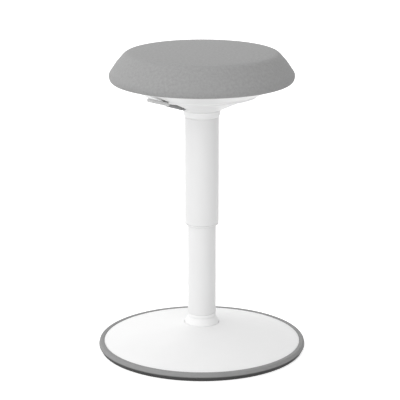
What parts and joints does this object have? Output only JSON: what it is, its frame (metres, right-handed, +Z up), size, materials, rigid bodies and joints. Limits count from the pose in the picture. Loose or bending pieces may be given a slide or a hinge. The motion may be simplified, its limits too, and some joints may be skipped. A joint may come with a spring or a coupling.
{
  "type": "leaning stool",
  "caption": "Round cushioned active stool on a telescopic gas-spring column that leans on a ball foot and swivels, standing on a weighted domed base with a rubber rim",
  "frame": {"origin": "On the floor, under the middle of the base, on the axis of the upright column", "axes": "+Z up along the upright column; -Y towards the viewer of the picture; the height lever points to the front left, 52 degrees from -X towards -Y"},
  "size_m": [0.3696, 0.3696, 0.5389],
  "materials": {
    "white_moulding": "fine satin moulding",
    "white_paint": "satin powder coat",
    "grey_rubber": "matt",
    "black_rubber": "matt",
    "grey_fabric": "plain weave",
    "foam": "cut foam",
    "plywood": "sanded",
    "grey_plastic": "satin moulding",
    "natural_nylon": "as moulded",
    "dark_steel": "black coat",
    "bright_steel": "zinc plated",
    "cast_iron": "as cast"
  },
  "bodies": {
    "base": {"rubber_rim": "grey_rubber", "base_plate": "dark_steel", "ballast_ring": "cast_iron", "base_cover": "white_moulding", "ball_dome": "white_moulding", "base_yoke": "dark_steel", "yoke_bush_front": "black_rubber", "yoke_bush_rear": "black_rubber", "yoke_bolt_1": "bright_steel", "yoke_bolt_2": "bright_steel", "yoke_bolt_3": "bright_steel", "yoke_bolt_4": "bright_steel", "cover_screw_1": "bright_steel", "cover_screw_2": "bright_steel", "cover_screw_3": "bright_steel", "cover_screw_4": "bright_steel"},
    "pivot": {"pivot_cross": "bright_steel"},
    "column": {"column_fork": "dark_steel", "fork_bush_left": "black_rubber", "fork_bush_right": "black_rubber", "foot_glide": "white_moulding", "stand_tube": "white_paint", "bearing_plate": "dark_steel", "lower_race": "bright_steel", "guide_bush": "natural_nylon"},
    "cage": {"ball_cage": "bright_steel"},
    "piston": {"upper_race": "bright_steel", "piston_rod": "bright_steel", "rod_clip": "dark_steel", "gas_piston": "natural_nylon"},
    "seat": {"gas_cylinder": "dark_steel", "rod_guide": "natural_nylon", "cover_sleeve": "white_paint", "sleeve_glide": "white_moulding", "sleeve_collar": "white_moulding", "taper_socket": "dark_steel", "seat_plate": "dark_steel", "lever_bracket": "dark_steel", "lever_pin": "bright_steel", "seat_pan": "white_moulding", "seat_board": "plywood", "seat_bolt_1": "bright_steel", "seat_bolt_2": "bright_steel", "seat_bolt_3": "bright_steel", "seat_bolt_4": "bright_steel", "tee_nut_1": "bright_steel", "tee_nut_2": "bright_steel", "tee_nut_3": "bright_steel", "tee_nut_4": "bright_steel", "pan_screw_1": "bright_steel", "pan_screw_2": "bright_steel", "pan_screw_3": "bright_steel", "pan_screw_4": "bright_steel", "seat_foam": "foam", "seat_cover": "grey_fabric"},
    "lever": {"height_lever": "dark_steel", "lever_grip": "grey_plastic"},
    "valve": {"valve_button": "bright_steel"}
  },
  "joints": [
    {"name": "lean_side", "type": "hinge", "parent": "base", "child": "pivot", "pos_m": [0, 0, 0.0393], "axis": [0, 1, 0], "range_deg": [-14, 14], "stiffness_Nm_per_rad": 100},
    {"name": "lean_fore", "type": "hinge", "parent": "pivot", "child": "column", "pos_m": [0, 0, 0.0393], "axis": [1, 0, 0], "range_deg": [-14, 14], "stiffness_Nm_per_rad": 100},
    {"name": "swivel", "type": "hinge", "parent": "column", "child": "piston", "pos_m": [0, 0, 0.1075], "axis": [0, 0, 1], "continuous": true},
    {"name": "cage_turn", "type": "hinge", "parent": "column", "child": "cage", "pos_m": [0, 0, 0.1039], "axis": [0, 0, 1], "continuous": true},
    {"name": "height", "type": "slide", "parent": "piston", "child": "seat", "axis": [0, 0, 1], "range_m": [-0.12, 0]},
    {"name": "lever_lift", "type": "hinge", "parent": "seat", "child": "lever", "pos_m": [-0.03386, -0.04334, 0.44706], "axis": [-0.788, 0.6157, 0], "range_deg": [0, 2.5], "stiffness_Nm_per_rad": 0.6, "springref_deg": -8.59},
    {"name": "valve_press", "type": "slide", "parent": "seat", "child": "valve", "axis": [0, 0, -1], "range_m": [0, 0.0024]}
  ],
  "couplings": [
    {"joint": "cage_turn", "follows": "swivel", "ratio": 0.5},
    {"joint": "valve_press", "follows": "lever_lift", "m_per_rad": 0.055}
  ]
}
